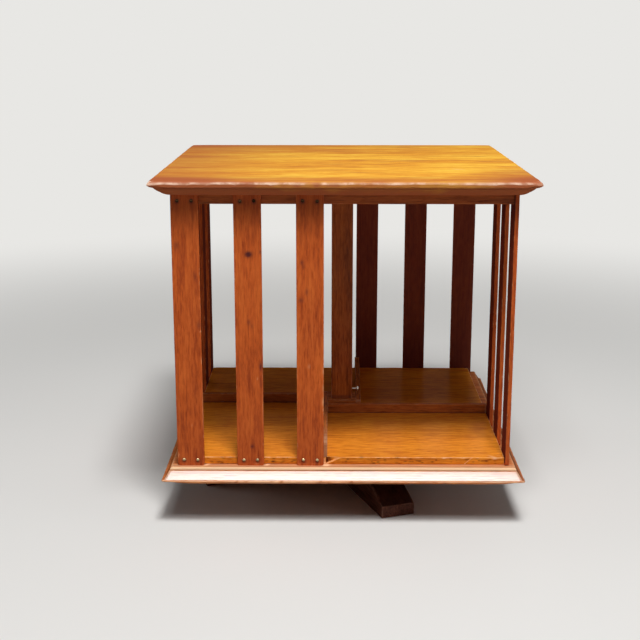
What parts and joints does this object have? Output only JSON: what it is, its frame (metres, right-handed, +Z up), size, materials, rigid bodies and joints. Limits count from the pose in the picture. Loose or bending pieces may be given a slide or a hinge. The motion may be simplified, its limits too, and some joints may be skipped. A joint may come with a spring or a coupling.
{
  "type": "revolving desktop bookcase",
  "caption": "Square desktop bookcase with slatted faces and moulded top and base boards, whose case turns on a crossed wooden foot.",
  "frame": {"origin": "on the ground, on the spindle's axis, at the middle of the foot", "axes": "+Z up along the spindle, from the foot to the top; -Y out through the front face, +X to the right seen from the front"},
  "size_m": [0.356, 0.356, 0.334],
  "materials": {
    "top_oak": "golden varnished oak, glossy",
    "slat_oak": "red-brown varnished oak, glossy",
    "inner_oak": "brown varnished oak, satin",
    "base_oak": "red-brown varnished oak, worn on its edges, glossy",
    "foot_oak": "dark red-brown stained oak, satin",
    "dark_nail": "blackened round-head nail",
    "bright_nail": "bright round-head nail",
    "cast_iron": "blackened cast iron",
    "steel": "plain steel",
    "brass": "dull brass"
  },
  "bodies": {
    "base": {"foot_bar_lower": "foot_oak", "foot_bar_upper": "foot_oak", "lap_screws": "steel", "pivot_flange": "cast_iron", "flange_screws": "steel", "spindle": "steel", "thrust_washer": "brass"},
    "case": {"slat_front_1": "slat_oak", "slat_front_2": "slat_oak", "slat_front_3": "slat_oak", "slat_right_1": "slat_oak", "slat_right_2": "slat_oak", "slat_right_3": "slat_oak", "slat_back_1": "slat_oak", "slat_back_2": "slat_oak", "slat_back_3": "slat_oak", "slat_left_1": "slat_oak", "slat_left_2": "slat_oak", "slat_left_3": "slat_oak", "front_book_stop": "inner_oak", "right_book_stop": "inner_oak", "back_book_stop": "inner_oak", "left_book_stop": "inner_oak", "shelf_board": "inner_oak", "sub_top": "inner_oak", "core_block": "inner_oak", "post": "inner_oak", "base_board": "base_oak", "top_board": "top_oak", "upper_nails_front": "dark_nail", "upper_nails_right": "dark_nail", "upper_nails_back": "dark_nail", "upper_nails_left": "dark_nail", "lower_nails_front": "bright_nail", "lower_nails_right": "bright_nail", "lower_nails_back": "bright_nail", "lower_nails_left": "bright_nail", "keeper_nail": "bright_nail", "bush_plate": "brass", "bush_plate_screws": "steel", "shelf_screws": "steel", "sub_top_screws": "steel", "post_screw": "steel"}
  },
  "joints": [
    {"name": "case_spin", "type": "hinge", "parent": "base", "child": "case", "pos_m": [0, 0, 0.0443], "axis": [0, 0, 1], "continuous": true}
  ]
}
